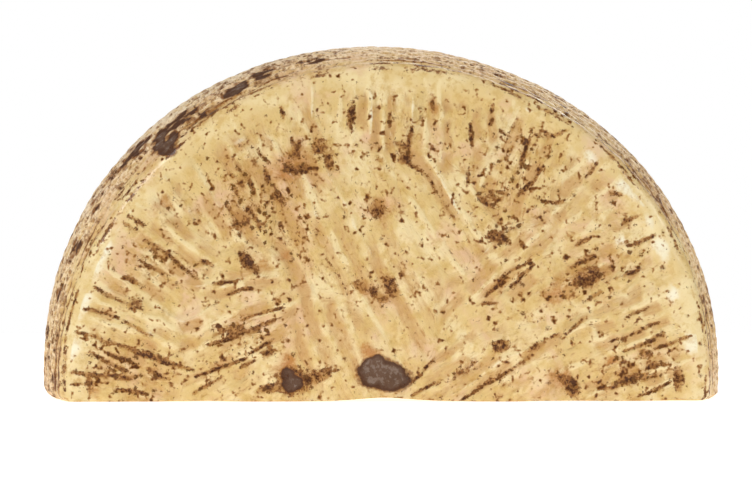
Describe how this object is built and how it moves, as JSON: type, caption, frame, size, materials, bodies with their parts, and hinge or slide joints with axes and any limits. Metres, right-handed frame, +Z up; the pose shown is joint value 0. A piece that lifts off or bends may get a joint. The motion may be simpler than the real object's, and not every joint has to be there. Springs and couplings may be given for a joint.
{
  "type": "half cheese wheel",
  "caption": "Half of a basket-moulded aged cheese wheel with a bulging rim and a rush-patterned rind, standing on its flat cut face.",
  "frame": {"origin": "middle of the cut face, on the surface that the half wheel stands on", "axes": "+Z up from the cut face, +X along the cut from left to right seen from the front, +Y along the wheel's own axis from the front face to the back face"},
  "size_m": [0.3006, 0.11, 0.1557],
  "materials": {
    "rind": "oiled natural cheese rind, satin, pale straw yellow mottled with tan and dark brown mould in its grooves"
  },
  "bodies": {
    "root": {"half_wheel": "rind"}
  },
  "joints": []
}
